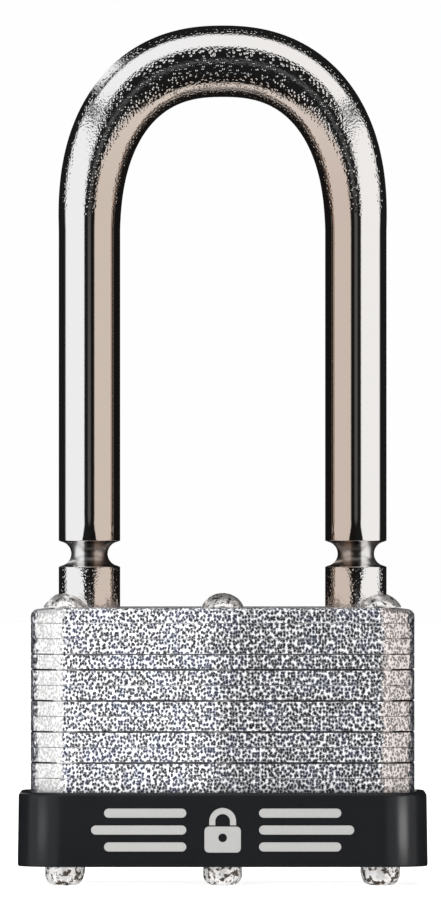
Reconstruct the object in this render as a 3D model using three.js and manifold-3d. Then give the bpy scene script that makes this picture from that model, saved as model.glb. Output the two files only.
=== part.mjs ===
// Laminated warded padlock with a long break-away shackle, in millimetres, +Z up.
// The origin is on the ground under the middle of the body: the lock stands on the ends of its six rivets.
// The front looks along -Y. The heel leg of the shackle, the one that stays in the body, is at -X.
import * as THREE from "three";
import { mergeVertices } from "three/addons/utils/BufferGeometryUtils.js";
import Module from "manifold-3d";

const wasm = await Module();
wasm.setup();

// ---------- driving dimensions ----------

// Body: a stack of stamped steel plates
const BODY_WIDTH = 44.45;
const BODY_DEPTH = 21.5;
const PLATE_COUNT = 16;
const PLATE_PITCH = 1.795;
const PLATE_GAP = 0.02; // air left between two plates by their rough faces
const STACK_BOTTOM = 3.45;
const CORNER_EXTENT = 4.3; // how far each bevelled corner reaches along both sides
const CORNER_BLEND = 2.2; // radius that rounds the bevel into the sides

// Rivets: six, which hold the stack together
const RIVET_X = 18.3;
const RIVET_Y = 7.4;
const MIDDLE_RIVET_Y = 8.0;
const RIVET_SHANK_R = 1.6;
const RIVET_HOLE_R = 1.75;
const RIVET_FOOT_R = 2.25;
const RIVET_FOOT_FLAT_R = 1.0;
const RIVET_FOOT_DOME = 0.86;
const RIVET_HEAD_R = 2.33;
const RIVET_HEAD_HEIGHT = 1.6;
const RIVET_SIDES = 10;
const RIVET_FOOT_ROOM = 0.2; // clearance round each foot where the bumper's lip is scalloped

// Shackle: a round bar, bent over a crown that is deeper than a half circle
const BAR_R = 3.57;
const LEG_X = 15.48;
const CROWN_BASE_Z = 75.98; // where the straight legs end
const CROWN_RISE = 19.6; // from there to the top of the bar's centre line
const CROWN_POWER = 2.36; // exponent of the superellipse that the centre line follows
const CROWN_SWELL = 0.59; // the bar is this much thicker, each way, at the top of the bend
const BAR_SIDES = 16;
const LEG_BORE_R = BAR_R + 0.25;

// What is turned into the legs
const BREAK_GROOVE_Z = 38.42;
const BREAK_GROOVE_R = 1.46;
const NOTCH_NECK_R = 2.27;
const NOTCH_HEIGHT = 3.0;
const TOE_END_Z = 22.6;
const HEEL_END_Z = 10.3;
const TOE_CHAMFER = 1.1;
const SHACKLE_TRAVEL = 12;

// Hairpin spring that locks both legs
const LOCK_SPRING_THICKNESS = 0.9;
const LOCK_SPRING_HEIGHT = 2.7;
const LOCK_SPRING_INNER_Y = 2.45;
const LOCK_SPRING_BACK_X = -20.3;
const LOCK_SPRING_TIP_X = 18.3;
const CAVITY_HALF_Y = 4.9;
const CAVITY_BACK_X = -20.55;
const CAVITY_TIP_X = 19.2;
const CAVITY_CORNER_R = 1.4;

// Key side: the turning keyway disc and the wards above it
const DISC_BOSS_R = 4.8;
const DISC_FLANGE_R = 5.5;
const DISC_RECESS = 0.25; // the disc's face is set back from the bottom plate's
const RUNNING_GAP = 0.15;
const KEYWAY_LENGTH = 8.4;
const KEYWAY_WAVE = 0.5; // how far the corrugated slot swings each way
const KEYWAY_HALF_GAP = 0.65;
const WARD_SLOT_LENGTH = 8.7;
const WARD_SLOT_HEIGHT = 2.6;
const WARD_ROUND_R = 2.7;
const KEY_SWEEP_R = 4.35;

// Spring under the heel leg
const EJECTOR_COIL_R = 2.65;
const EJECTOR_WIRE_R = 0.4;
const EJECTOR_TURNS = 4.2;

// Bumper: a soft black sleeve round the foot of the body
const BUMPER_BOTTOM = 2.2;
const BUMPER_TOP = 10.8;
const BUMPER_WALL = 1.4;
const BUMPER_DRAFT = 0.13; // how much further the wall stands out at the bottom
const BUMPER_CORNER_R = 5.6;
const BUMPER_CLEARANCE = 0.12;
const BUMPER_LIP = 1.2; // how far the lip reaches in under the bottom plate
const GRIP_PLATE = 3; // the plate that is cut small, so that a rib in the bumper snaps round it
const GRIP_INSET = 0.8;
const RIB_REACH = 0.55;
const RIB_MARGIN = 0.3;

// ---------- levels worked out from them ----------

const plateBottom = (number) => STACK_BOTTOM + (number - 1) * PLATE_PITCH;
const STACK_TOP = plateBottom(PLATE_COUNT + 1) - PLATE_GAP;
const LOCK_PLATES = [13, 14]; // the two plates that leave room for the hairpin spring
const NOTCH_Z = plateBottom(LOCK_PLATES[1]);
const RETAINING_NOTCH_Z = NOTCH_Z - SHACKLE_TRAVEL;
const FIRST_HEEL_PLATE = 2;
const FIRST_TOE_PLATE = 11;

// ---------- finishes ----------

const steel = (color, roughness) => new THREE.MeshStandardMaterial({ color, roughness, metalness: 1 });
const PLATE_STEEL = steel(0xb4b4b8, 0.45);
const RIVET_STEEL = steel(0xb8b5b2, 0.4);
const SHACKLE_CHROME = steel(0xdcd8d4, 0.12);
const SPRING_STEEL = steel(0x77787a, 0.35);
const DISC_BRASS = steel(0xb08d4a, 0.35);
const BUMPER_PLASTIC = new THREE.MeshStandardMaterial({ color: 0x202223, roughness: 0.4, metalness: 0 });

// ---------- small tools ----------

const group = new THREE.Group();

function addMesh(name, geometry, material) {
  const mesh = new THREE.Mesh(geometry, material);
  mesh.name = name;
  group.add(mesh);
  return mesh;
}

// Points along an arc, both ends included.
function arc(cx, cy, radius, from, to, steps) {
  const points = [];
  for (let i = 0; i <= steps; i++) {
    const angle = from + ((to - from) * i) / steps;
    points.push(new THREE.Vector2(cx + radius * Math.cos(angle), cy + radius * Math.sin(angle)));
  }
  return points;
}

function circle(cx, cy, radius, sides) {
  return arc(cx, cy, radius, 0, 2 * Math.PI, sides).slice(0, -1);
}

function roundedRectangle(left, right, halfY, radius, steps) {
  const quarter = Math.PI / 2;
  return [
    ...arc(right - radius, halfY - radius, radius, 0, quarter, steps),
    ...arc(left + radius, halfY - radius, radius, quarter, 2 * quarter, steps),
    ...arc(left + radius, -halfY + radius, radius, 2 * quarter, 3 * quarter, steps),
    ...arc(right - radius, -halfY + radius, radius, 3 * quarter, 4 * quarter, steps),
  ];
}

// A flat outline with holes, raised from one level to another.
function prism(outline, holes, bottom, top) {
  const shape = new THREE.Shape(outline);
  for (const hole of holes) shape.holes.push(new THREE.Path(hole));
  const geometry = new THREE.ExtrudeGeometry(shape, { depth: top - bottom, bevelEnabled: false });
  return geometry.translate(0, 0, bottom);
}

// A turned piece about +Z. The profile holds [radius, height] pairs, from the bottom of the axis to its top.
function turned(profile, sides) {
  const points = profile.map(([radius, height]) => new THREE.Vector2(radius, height));
  return new THREE.LatheGeometry(points, sides).rotateX(Math.PI / 2);
}

function toSolid(geometry) {
  const bare = (geometry.index ? geometry.toNonIndexed() : geometry.clone());
  bare.deleteAttribute("normal");
  bare.deleteAttribute("uv");
  const merged = mergeVertices(bare);
  return new wasm.Manifold(
    new wasm.Mesh({
      numProp: 3,
      vertProperties: merged.attributes.position.array,
      triVerts: new Uint32Array(merged.index.array),
    }),
  );
}

function toGeometry(solid) {
  const mesh = solid.getMesh();
  return new THREE.BufferGeometry()
    .setAttribute("position", new THREE.BufferAttribute(mesh.vertProperties, 3))
    .setIndex(new THREE.BufferAttribute(mesh.triVerts, 1));
}

function cut(geometry, ...cutters) {
  let solid = toSolid(geometry);
  for (const cutter of cutters) solid = solid.subtract(toSolid(cutter));
  return toGeometry(solid);
}

// ---------- body plates ----------

// The plate's outline: a rectangle with bevelled, blended corners, grown evenly by a margin.
function plateOutline(margin = 0) {
  const blend = CORNER_BLEND + margin;
  const eighth = Math.PI / 4;
  const sideX = BODY_WIDTH / 2 - CORNER_BLEND;
  const sideY = BODY_DEPTH / 2 - CORNER_EXTENT;
  const frontX = BODY_WIDTH / 2 - CORNER_EXTENT;
  const frontY = BODY_DEPTH / 2 - CORNER_BLEND;
  const corner = [
    ...arc(sideX, sideY, blend, 0, eighth, 1),
    ...arc(frontX, frontY, blend, eighth, 2 * eighth, 1),
  ];
  const flipped = (sx, sy) => corner.map((p) => new THREE.Vector2(sx * p.x, sy * p.y));
  return [...corner, ...flipped(-1, 1).reverse(), ...flipped(-1, -1), ...flipped(1, -1).reverse()];
}

const RIVET_PLACES = {
  front_left: [-RIVET_X, -RIVET_Y],
  front_middle: [0, -MIDDLE_RIVET_Y],
  front_right: [RIVET_X, -RIVET_Y],
  rear_left: [-RIVET_X, RIVET_Y],
  rear_middle: [0, MIDDLE_RIVET_Y],
  rear_right: [RIVET_X, RIVET_Y],
};

// The hole that lets a notched key in and lets its narrow part turn: a slot crossed by a round.
function wardOpening() {
  const halfSlot = WARD_SLOT_HEIGHT / 2;
  const meet = Math.asin(halfSlot / WARD_ROUND_R);
  const end = WARD_SLOT_LENGTH / 2;
  return [
    new THREE.Vector2(end, -halfSlot),
    new THREE.Vector2(end, halfSlot),
    ...arc(0, 0, WARD_ROUND_R, meet, Math.PI - meet, 6),
    new THREE.Vector2(-end, halfSlot),
    new THREE.Vector2(-end, -halfSlot),
    ...arc(0, 0, WARD_ROUND_R, Math.PI + meet, 2 * Math.PI - meet, 6),
  ];
}

const KEY_SIDES = 16;
const BORE_SIDES = 16;
const keyRound = () => circle(0, 0, KEY_SWEEP_R, KEY_SIDES);
const springCavity = () =>
  roundedRectangle(CAVITY_BACK_X, CAVITY_TIP_X, CAVITY_HALF_Y, CAVITY_CORNER_R, 2);

// The stack from the bottom up: each plate's name and the opening in its middle.
const PLATES = [
  ["bottom_plate", () => circle(0, 0, DISC_BOSS_R + RUNNING_GAP, KEY_SIDES)],
  ["disc_pocket_plate", () => circle(0, 0, DISC_FLANGE_R + RUNNING_GAP, KEY_SIDES)],
  ["ward_plate_1", wardOpening],
  ["spacer_plate_1", keyRound],
  ["ward_plate_2", wardOpening],
  ["spacer_plate_2", keyRound],
  ["spacer_plate_3", keyRound],
  ["ward_plate_3", wardOpening],
  ["spacer_plate_4", keyRound],
  ["ward_plate_4", wardOpening],
  ["spacer_plate_5", keyRound],
  ["spring_floor_plate", keyRound],
  ["spring_plate_lower", springCavity],
  ["spring_plate_upper", springCavity],
  ["spring_cover_plate", null],
  ["top_plate", null],
];

function bodyPlate(number, opening) {
  const holes = Object.values(RIVET_PLACES).map(([x, y]) => circle(x, y, RIVET_HOLE_R, RIVET_SIDES));
  if (opening) holes.push(opening());
  if (opening !== springCavity) {
    if (number >= FIRST_HEEL_PLATE) holes.push(circle(-LEG_X, 0, LEG_BORE_R, BORE_SIDES));
    if (number >= FIRST_TOE_PLATE) holes.push(circle(LEG_X, 0, LEG_BORE_R, BORE_SIDES));
  }
  const margin = number === GRIP_PLATE ? -GRIP_INSET : 0;
  const bottom = plateBottom(number);
  return prism(plateOutline(margin), holes, bottom, bottom + PLATE_PITCH - PLATE_GAP);
}

PLATES.forEach(([name, opening], index) => {
  addMesh(name, bodyPlate(index + 1, opening), PLATE_STEEL);
});

// ---------- rivets ----------

// From the foot up: a domed foot with a small flat, the shank through the plates, and a domed head.
function rivet(x, y) {
  const footTop = STACK_BOTTOM - PLATE_GAP;
  const headBottom = STACK_TOP + PLATE_GAP;
  const profile = [
    [0, 0],
    [RIVET_FOOT_FLAT_R, 0],
  ];
  const domeSteps = 3;
  const footSwell = RIVET_FOOT_R - RIVET_FOOT_FLAT_R;
  for (let i = 1; i <= domeSteps; i++) {
    const angle = (Math.PI / 2) * (i / domeSteps);
    profile.push([
      RIVET_FOOT_FLAT_R + footSwell * Math.sin(angle),
      RIVET_FOOT_DOME * (1 - Math.cos(angle)),
    ]);
  }
  profile.push([RIVET_FOOT_R, footTop], [RIVET_SHANK_R, footTop], [RIVET_SHANK_R, headBottom]);
  for (let i = 0; i <= domeSteps; i++) {
    const angle = (Math.PI / 2) * (i / domeSteps);
    profile.push([RIVET_HEAD_R * Math.cos(angle), headBottom + RIVET_HEAD_HEIGHT * Math.sin(angle)]);
  }
  profile[profile.length - 1][0] = 0;
  return turned(profile, RIVET_SIDES).translate(x, y, 0);
}

for (const [place, [x, y]] of Object.entries(RIVET_PLACES)) {
  addMesh(`rivet_${place}`, rivet(x, y), RIVET_STEEL);
}

// ---------- shackle ----------

// The bar's centre line over the crown, from the top of the toe leg to the top of the heel leg.
class CrownLine extends THREE.Curve {
  getPoint(t, target = new THREE.Vector3()) {
    const angle = Math.PI * t;
    const power = 2 / CROWN_POWER;
    const across = Math.cos(angle);
    return target.set(
      LEG_X * Math.sign(across) * Math.abs(across) ** power,
      0,
      CROWN_BASE_Z + CROWN_RISE * Math.abs(Math.sin(angle)) ** power,
    );
  }
}

// A cylinder with a chamfered end, from its end up to the crown: [radius, height] pairs.
function legProfile(endZ, notches) {
  const halfNotch = NOTCH_HEIGHT / 2;
  const points = [
    [0, endZ],
    [BAR_R - TOE_CHAMFER, endZ],
    [BAR_R, endZ + TOE_CHAMFER],
  ];
  for (const z of notches) {
    points.push([BAR_R, z - halfNotch], [NOTCH_NECK_R, z - halfNotch]);
    points.push([NOTCH_NECK_R, z + halfNotch], [BAR_R, z + halfNotch]);
  }
  const steps = 6;
  for (let i = 0; i <= steps; i++) {
    const angle = Math.PI * (i / steps);
    points.push([
      BAR_R - BREAK_GROOVE_R * Math.sin(angle),
      BREAK_GROOVE_Z - BREAK_GROOVE_R * Math.cos(angle),
    ]);
  }
  return points;
}

// The bar is turned straight, with its notches and grooves, and then bent over the crown.
function shackle() {
  const crown = new CrownLine();
  crown.arcLengthDivisions = 2000;
  const crownLength = crown.getLength();
  const crownSteps = 22;
  const toe = legProfile(TOE_END_Z, [NOTCH_Z]);
  const heel = legProfile(HEEL_END_Z, [RETAINING_NOTCH_Z, NOTCH_Z]);
  const bend = [];
  for (let i = 0; i <= crownSteps; i++) {
    bend.push([BAR_R, CROWN_BASE_Z + (crownLength * i) / crownSteps]);
  }
  const barTop = 2 * CROWN_BASE_Z + crownLength;
  const heelDown = heel.map(([radius, z]) => [radius, barTop - z]).reverse();
  const bar = turned([...toe, ...bend, ...heelDown], BAR_SIDES);

  const position = bar.getAttribute("position");
  for (let i = 0; i < position.count; i++) {
    const outward = position.getX(i);
    const along = position.getZ(i) - CROWN_BASE_Z;
    const share = THREE.MathUtils.clamp(along / crownLength, 0, 1);
    const centre = crown.getPointAt(share);
    const tangent = crown.getTangentAt(share);
    if (along <= 0 || along >= crownLength) tangent.set(0, 0, along <= 0 ? 1 : -1);
    const overrun = along - share * crownLength;
    const swell = 1 + (CROWN_SWELL / BAR_R) * Math.sin(Math.PI * share);
    position.setX(i, centre.x + tangent.x * overrun + tangent.z * outward * swell);
    position.setZ(i, centre.z + tangent.z * overrun - tangent.x * outward * swell);
  }
  return bar;
}

addMesh("shackle", shackle(), SHACKLE_CHROME);

// ---------- hairpin locking spring ----------

// A flat strip bent into a U. Its closed end is beside the heel leg.
// Its arms lie in the notches of both legs.
function lockingSpring() {
  const outerY = LOCK_SPRING_INNER_Y + LOCK_SPRING_THICKNESS;
  const innerX = LOCK_SPRING_BACK_X + LOCK_SPRING_THICKNESS;
  const bendR = 1.6;
  const half = [
    new THREE.Vector2(LOCK_SPRING_TIP_X, outerY),
    ...arc(LOCK_SPRING_BACK_X + bendR, outerY - bendR, bendR, Math.PI / 2, Math.PI, 4),
  ];
  const innerBendR = bendR - LOCK_SPRING_THICKNESS;
  const innerHalf = [
    ...arc(innerX + innerBendR, LOCK_SPRING_INNER_Y - innerBendR, innerBendR, Math.PI, Math.PI / 2, 4),
    new THREE.Vector2(LOCK_SPRING_TIP_X, LOCK_SPRING_INNER_Y),
  ];
  const mirrored = (points) => points.map((p) => new THREE.Vector2(p.x, -p.y)).reverse();
  const outline = [...half, ...mirrored(half), ...mirrored(innerHalf), ...innerHalf];
  return prism(outline, [], NOTCH_Z - LOCK_SPRING_HEIGHT / 2, NOTCH_Z + LOCK_SPRING_HEIGHT / 2);
}

addMesh("locking_spring", lockingSpring(), SPRING_STEEL);

// ---------- ejector spring ----------

class Helix extends THREE.Curve {
  constructor(x, radius, bottom, top, turns) {
    super();
    Object.assign(this, { x, radius, bottom, top, turns });
  }

  getPoint(t, target = new THREE.Vector3()) {
    const angle = 2 * Math.PI * this.turns * t;
    return target.set(
      this.x + this.radius * Math.cos(angle),
      this.radius * Math.sin(angle),
      this.bottom + (this.top - this.bottom) * t,
    );
  }
}

// A coil spring squeezed between the bottom plate and the end of the heel leg.
function ejectorSpring() {
  const endGap = 0.12;
  const bottom = plateBottom(FIRST_HEEL_PLATE) + EJECTOR_WIRE_R + endGap;
  const top = HEEL_END_Z - EJECTOR_WIRE_R - endGap;
  const path = new Helix(-LEG_X, EJECTOR_COIL_R, bottom, top, EJECTOR_TURNS);
  const section = new THREE.Shape(circle(0, 0, EJECTOR_WIRE_R, 6));
  return new THREE.ExtrudeGeometry(section, { extrudePath: path, steps: 54, bevelEnabled: false });
}

addMesh("ejector_spring", ejectorSpring(), SPRING_STEEL);

// ---------- keyway disc ----------

// The corrugated slot for a folded sheet-metal key: a zigzag band of even thickness.
function keywaySlot(bottom, top) {
  const swings = [0, 1, -1, 1, -1, 0];
  const step = KEYWAY_LENGTH / (swings.length - 1);
  const side = (offset) =>
    swings.map((swing, i) => new THREE.Vector2(i * step - KEYWAY_LENGTH / 2, swing * KEYWAY_WAVE + offset));
  return prism([...side(-KEYWAY_HALF_GAP), ...side(KEYWAY_HALF_GAP).reverse()], [], bottom, top);
}

// A flanged disc that turns with the key. The pocket plate holds its flange.
function keywayDisc() {
  const face = STACK_BOTTOM + DISC_RECESS;
  const flangeBottom = plateBottom(2) + RUNNING_GAP / 2;
  const flangeTop = plateBottom(3) - RUNNING_GAP;
  const chamfer = 0.3;
  const disc = turned(
    [
      [0, face],
      [DISC_BOSS_R - chamfer, face],
      [DISC_BOSS_R, face + chamfer],
      [DISC_BOSS_R, flangeBottom],
      [DISC_FLANGE_R, flangeBottom],
      [DISC_FLANGE_R, flangeTop],
      [0, flangeTop],
    ],
    KEY_SIDES * 2,
  );
  return cut(disc, keywaySlot(face - 1, flangeTop + 1));
}

addMesh("keyway_disc", keywayDisc(), DISC_BRASS);

// ---------- bumper ----------

function bumper() {
  const halfX = BODY_WIDTH / 2 + BUMPER_WALL;
  const halfY = BODY_DEPTH / 2 + BUMPER_WALL;
  const outline = roundedRectangle(-halfX, halfX, halfY, BUMPER_CORNER_R, 5);
  const skin = prism(outline, [], BUMPER_BOTTOM, BUMPER_TOP);
  const position = skin.getAttribute("position");
  for (let i = 0; i < position.count; i++) {
    if (position.getZ(i) > BUMPER_BOTTOM + 1e-3) continue;
    position.setX(i, position.getX(i) * (1 + BUMPER_DRAFT / halfX));
    position.setY(i, position.getY(i) * (1 + BUMPER_DRAFT / halfY));
  }
  const past = 1;
  const room = plateOutline(BUMPER_CLEARANCE);
  const floor = STACK_BOTTOM - BUMPER_CLEARANCE;
  const ribBottom = plateBottom(GRIP_PLATE) + RIB_MARGIN;
  const ribTop = plateBottom(GRIP_PLATE + 1) - PLATE_GAP - RIB_MARGIN;
  const scallopR = RIVET_FOOT_R + RIVET_FOOT_ROOM;
  const scallops = Object.values(RIVET_PLACES).map(([x, y]) =>
    prism(circle(x, y, scallopR, 2 * RIVET_SIDES), [], BUMPER_BOTTOM - past, floor + past),
  );
  return cut(
    skin,
    ...scallops,
    prism(plateOutline(-BUMPER_LIP), [], BUMPER_BOTTOM - past, floor + past),
    prism(room, [], floor, ribBottom),
    prism(plateOutline(-RIB_REACH), [], ribBottom - past, ribTop + past),
    prism(room, [], ribTop, BUMPER_TOP + past),
  );
}

addMesh("bumper", bumper(), BUMPER_PLASTIC);

export default group;
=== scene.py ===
"""The looks of a laminated padlock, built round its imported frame. Sizes are in mm until MM scales them."""

import math

import bmesh
import bpy
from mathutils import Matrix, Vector, noise


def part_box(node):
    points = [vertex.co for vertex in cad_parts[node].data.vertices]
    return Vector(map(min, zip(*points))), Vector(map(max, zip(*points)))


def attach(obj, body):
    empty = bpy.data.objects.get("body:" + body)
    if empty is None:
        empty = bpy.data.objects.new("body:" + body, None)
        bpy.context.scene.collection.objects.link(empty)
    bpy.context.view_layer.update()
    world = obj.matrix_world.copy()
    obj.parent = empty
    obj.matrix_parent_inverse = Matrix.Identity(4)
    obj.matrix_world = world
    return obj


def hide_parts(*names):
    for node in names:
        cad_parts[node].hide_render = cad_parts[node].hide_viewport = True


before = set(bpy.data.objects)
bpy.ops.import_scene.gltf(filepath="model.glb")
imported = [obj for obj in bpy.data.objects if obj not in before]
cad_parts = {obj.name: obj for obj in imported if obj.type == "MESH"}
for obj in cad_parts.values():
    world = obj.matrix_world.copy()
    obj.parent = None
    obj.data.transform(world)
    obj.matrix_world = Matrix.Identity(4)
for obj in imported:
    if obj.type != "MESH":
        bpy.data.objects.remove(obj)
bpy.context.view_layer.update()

MM = 0.001
scene = bpy.context.scene
scene.view_settings.view_transform = "Standard"

# ---------- driving sizes ----------

PLATES = [
    "bottom_plate", "disc_pocket_plate", "ward_plate_1", "spacer_plate_1",
    "ward_plate_2", "spacer_plate_2", "spacer_plate_3", "ward_plate_3",
    "spacer_plate_4", "ward_plate_4", "spacer_plate_5", "spring_floor_plate",
    "spring_plate_lower", "spring_plate_upper", "spring_cover_plate", "top_plate",
]
CORNER_EXTENT = 4.3
CORNER_BLEND = 2.2
CORNER_STEPS = 8
RIVET_HOLE_R = 1.75
RIVET_SHANK_R = 1.6
RIVET_SIDES = 48
BORE_SIDES = 64
BAR_R = 3.57
LEG_X = 15.48
LEG_BORE_R = BAR_R + 0.25
FIRST_HEEL_PLATE = 2
FIRST_TOE_PLATE = 11

CAMERA_DISTANCE = 2000
FRAME_HEIGHT = 104.6  # what the picture's height takes in, at the shackle's depth
FRAME_CENTRE = Vector((-0.25, 0, 50.4))
SENSOR = 36


def box_mm(node):
    low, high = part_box(node)
    return low / MM, high / MM


def middle_mm(node):
    low, high = box_mm(node)
    return (low + high) / 2


# ---------- meshes ----------


def arc(cx, cy, radius, start, end, steps):
    points = []
    for i in range(steps + 1):
        angle = math.radians(start + (end - start) * i / steps)
        points.append((cx + radius * math.cos(angle), cy + radius * math.sin(angle)))
    return points


def circle(cx, cy, radius, sides):
    return arc(cx, cy, radius, 0, 360, sides)[:-1]


def four_corners(corner):
    """The outline whose +X +Y corner runs through these points, mirrored into the other three."""
    left = [(-x, y) for x, y in reversed(corner)]
    below = [(-x, -y) for x, y in corner]
    right = [(x, -y) for x, y in reversed(corner)]
    return corner + left + below + right


def bevelled_outline(half_x, half_y, grow=0.0):
    """A rectangle with 45 degree corners that are blended into its sides, grown evenly."""
    blend = CORNER_BLEND + grow
    side = arc(half_x - CORNER_BLEND, half_y - CORNER_EXTENT, blend, 0, 45, CORNER_STEPS)
    front = arc(half_x - CORNER_EXTENT, half_y - CORNER_BLEND, blend, 45, 90, CORNER_STEPS)
    return four_corners(side + front)


def rounded_outline(half_x, half_y, radius, steps=2 * CORNER_STEPS + 1):
    return four_corners(arc(half_x - radius, half_y - radius, radius, 0, 90, steps))


def ring_of(mesh, points, z):
    return [mesh.verts.new((x * MM, y * MM, z * MM)) for x, y in points]


def join_rings(mesh, rings, closed=False):
    pairs = list(zip(rings, rings[1:]))
    if closed:
        pairs.append((rings[-1], rings[0]))
    for a, b in pairs:
        for i in range(len(a)):
            j = (i + 1) % len(a)
            mesh.faces.new((a[i], a[j], b[j], b[i]))


def edges_of(ring):
    edges = []
    for i, vert in enumerate(ring):
        other = ring[(i + 1) % len(ring)]
        edges.append(next(e for e in vert.link_edges if e.other_vert(vert) is other))
    return edges


def finished(mesh, name, material, smooth_angle=35):
    """The bmesh as an object in the scene, with soft shading and edges kept where faces meet sharply."""
    bmesh.ops.recalc_face_normals(mesh, faces=mesh.faces)
    data = bpy.data.meshes.new(name)
    mesh.to_mesh(data)
    mesh.free()
    for polygon in data.polygons:
        polygon.use_smooth = True
    data.set_sharp_from_angle(angle=math.radians(smooth_angle))
    data.materials.append(material)
    obj = bpy.data.objects.new(name, data)
    scene.collection.objects.link(obj)
    return obj


def edge_profile(bottom, top, bottom_edge, top_edge, steps=3):
    """(growth, height) pairs up a wall whose bottom and top edges are rounded."""
    profile = []
    for i in range(steps + 1):
        angle = math.radians(90 * i / steps)
        profile.append((bottom_edge * (math.sin(angle) - 1), bottom + bottom_edge * (1 - math.cos(angle))))
    for i in range(steps + 1):
        angle = math.radians(90 * i / steps)
        profile.append((top_edge * (math.cos(angle) - 1), top - top_edge * (1 - math.sin(angle))))
    return profile


def pierced_slab(mesh, loops, profile):
    """A slab with holes. Each loop gives its points for a growth of the metal: outline first, then holes."""
    bottom_edges = []
    top_edges = []
    for loop in loops:
        rings = [ring_of(mesh, loop(grow), z) for grow, z in profile]
        join_rings(mesh, rings)
        bottom_edges += edges_of(rings[0])
        top_edges += edges_of(rings[-1])
    bmesh.ops.triangle_fill(mesh, edges=bottom_edges, use_beauty=True)
    bmesh.ops.triangle_fill(mesh, edges=top_edges, use_beauty=True)


def hole(x, y, radius, sides):
    return lambda grow: circle(x, y, radius - grow, sides)


def turned(mesh, profile, x, y, sides):
    """A turned solid about a vertical axis, from (radius, height) pairs that start and end on the axis."""
    rings = [ring_of(mesh, circle(x, y, radius, sides), z) for radius, z in profile[1:-1]]
    join_rings(mesh, rings)
    for ring, (_, z) in ((rings[0], profile[0]), (rings[-1], profile[-1])):
        tip = mesh.verts.new((x * MM, y * MM, z * MM))
        for i in range(sides):
            mesh.faces.new((ring[i], ring[(i + 1) % sides], tip))


# ---------- node helpers ----------


def add(tree, kind, inputs=None, **settings):
    """A shader node. Inputs are values or other nodes' outputs, by name or number."""
    node = tree.nodes.new(kind)
    for key, value in settings.items():
        setattr(node, key, value)
    for key, value in (inputs or {}).items():
        if isinstance(value, bpy.types.NodeSocket):
            tree.links.new(value, node.inputs[key])
        else:
            node.inputs[key].default_value = value
    return node


def math_node(tree, operation, a, b=0.0):
    return add(tree, "ShaderNodeMath", {0: a, 1: b}, operation=operation).outputs[0]


def remap(tree, value, low, high, to_low=0.0, to_high=1.0):
    inputs = {"Value": value, "From Min": low, "From Max": high, "To Min": to_low, "To Max": to_high}
    return add(tree, "ShaderNodeMapRange", inputs, interpolation_type="SMOOTHSTEP").outputs[0]


def mix_colours(tree, factor, a, b, blend="MIX"):
    node = add(tree, "ShaderNodeMix", data_type="RGBA", blend_type=blend)
    for socket, value in ((0, factor), (6, a), (7, b)):
        if isinstance(value, bpy.types.NodeSocket):
            tree.links.new(value, node.inputs[socket])
        elif socket == 0:
            node.inputs[socket].default_value = value
        else:
            node.inputs[socket].default_value = (*value, 1)
    return node.outputs[2]


def coordinates(tree, stretch=(1, 1, 1)):
    """Places on the piece in millimetres, stretched along the axes."""
    place = add(tree, "ShaderNodeTexCoord").outputs["Object"]
    scale = [1 / (MM * s) for s in stretch]
    return add(tree, "ShaderNodeVectorMath", {0: place, 1: scale}, operation="MULTIPLY").outputs[0]


def grain(tree, place, size, detail=2.0, roughness=0.5, distortion=0.0):
    """Noise from 0 to 1 whose lumps are about size millimetres across."""
    inputs = {"Vector": place, "Scale": 1 / size, "Detail": detail}
    inputs.update({"Roughness": roughness, "Distortion": distortion})
    return add(tree, "ShaderNodeTexNoise", inputs).outputs["Fac"]


def new_material(name, metallic=0.0, roughness=0.5, color=(0.5, 0.5, 0.5)):
    material = bpy.data.materials.new(name)
    material.use_nodes = True
    tree = material.node_tree
    shader = tree.nodes["Principled BSDF"]
    shader.inputs["Metallic"].default_value = metallic
    shader.inputs["Roughness"].default_value = roughness
    shader.inputs["Base Color"].default_value = (*color, 1)
    return material, tree, shader


def set_bump(tree, shader, height, distance_mm, strength=1.0):
    inputs = {"Height": height, "Distance": distance_mm * MM, "Strength": strength}
    bump = add(tree, "ShaderNodeBump", inputs)
    tree.links.new(bump.outputs["Normal"], shader.inputs["Normal"])


# ---------- materials ----------

MID_NOISE = (0.3, 0.7)  # the range that most of a noise lies in
PLATE_END_X = box_mm("top_plate")[1].x
CORNER_OUTER_X = PLATE_END_X - 0.65
CORNER_INNER_X = PLATE_END_X - 3.75
CORNER_EDGE = (CORNER_INNER_X - 0.15, CORNER_INNER_X + 0.25)
END_FACE_EDGE = (CORNER_OUTER_X - 0.2, CORNER_OUTER_X + 0.2)
EDGE_WANDER = 0.3  # how far the edges of the burnished corner wander
WANDER_SIZE = 0.6
GRAIN_STRETCH = 1.25  # how much taller than wide the grain is
WIDE_FACE_CELL = 0.37  # spacing of the grain's pits on the wide faces
WIDE_FACE_SCATTER = 0.8
WIDE_FACE_MEAN = 0.42
OTHER_FACE_CELL = 0.30
OTHER_FACE_SCATTER = 0.9
OTHER_FACE_MEAN = 0.5
FACES_UP = (0.4, 0.6)  # the vertical part of the normal from which a face counts as a top or bottom
CELL_CONTRAST = 1.8
FINE_SIZE = 0.13
FINE_CONTRAST = 1.7
FLAKE_LEVEL = 0.53
DARKEST_FLAKE = 0.04
FLAKE_POWER = 2.2
BLUE_PATCH_SIZE = 2.2
BLUE_PATCH_RANGE = (0.42, 0.65)
PIT_BLACK = (0.002, 0.003, 0.007)
PIT_BLUE = (0.010, 0.016, 0.046)
ZINC_WHITE = (0.975, 0.98, 1.0)
END_FACE_SHADE = (0.24, 0.24, 0.255)
LEFT_CORNER = (0.90, 0.90, 0.89)
# Painted shade: the right corner is tinted warmer and speckled more than the left.
RIGHT_CORNER_PAINTED_SHADE = (0.98, 0.90, 0.87)
CORNER_SPECK = (0.10, 0.095, 0.10)
LEFT_SPECKLE = 0.4
RIGHT_SPECKLE_PAINTED_SHADE = 0.85
ZINC_METALLIC = 0.3
BURNISHED_METALLIC = 0.75
ZINC_RELIEF = 0.05
BURNISHED_RELIEF_SHARE = 0.25


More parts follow.
